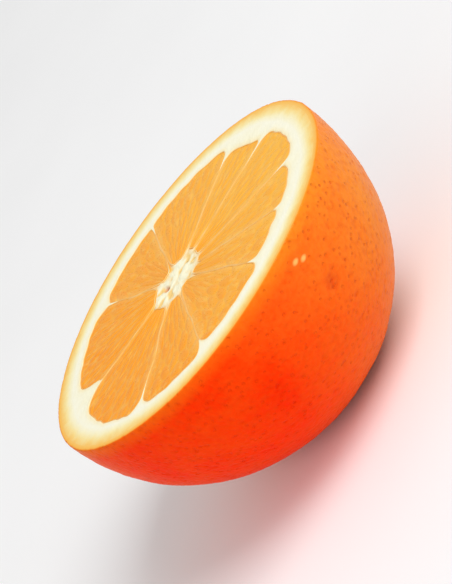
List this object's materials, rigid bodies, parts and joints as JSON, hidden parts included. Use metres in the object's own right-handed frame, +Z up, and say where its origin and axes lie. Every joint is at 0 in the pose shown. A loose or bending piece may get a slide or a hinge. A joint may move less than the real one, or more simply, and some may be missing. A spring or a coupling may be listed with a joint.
{
  "type": "orange half",
  "caption": "Half of a round orange cut across its segments, lying on its dome with the pulp, pith and core facing up.",
  "frame": {"origin": "middle of the small flat spot at the bottom of the dome, on the surface that the half lies on", "axes": "+Z up, square to the cut; -Y is the side of the cut that is nearest in the picture, +X to the right of it"},
  "size_m": [0.0764, 0.0756, 0.038],
  "materials": {
    "peel": "waxy and finely pebbled",
    "pith": "soft and matt",
    "membrane": "thin, damp and see-through at the edge",
    "pulp": "wet"
  },
  "bodies": {
    "root": {"orange_half": "peel"}
  },
  "joints": []
}
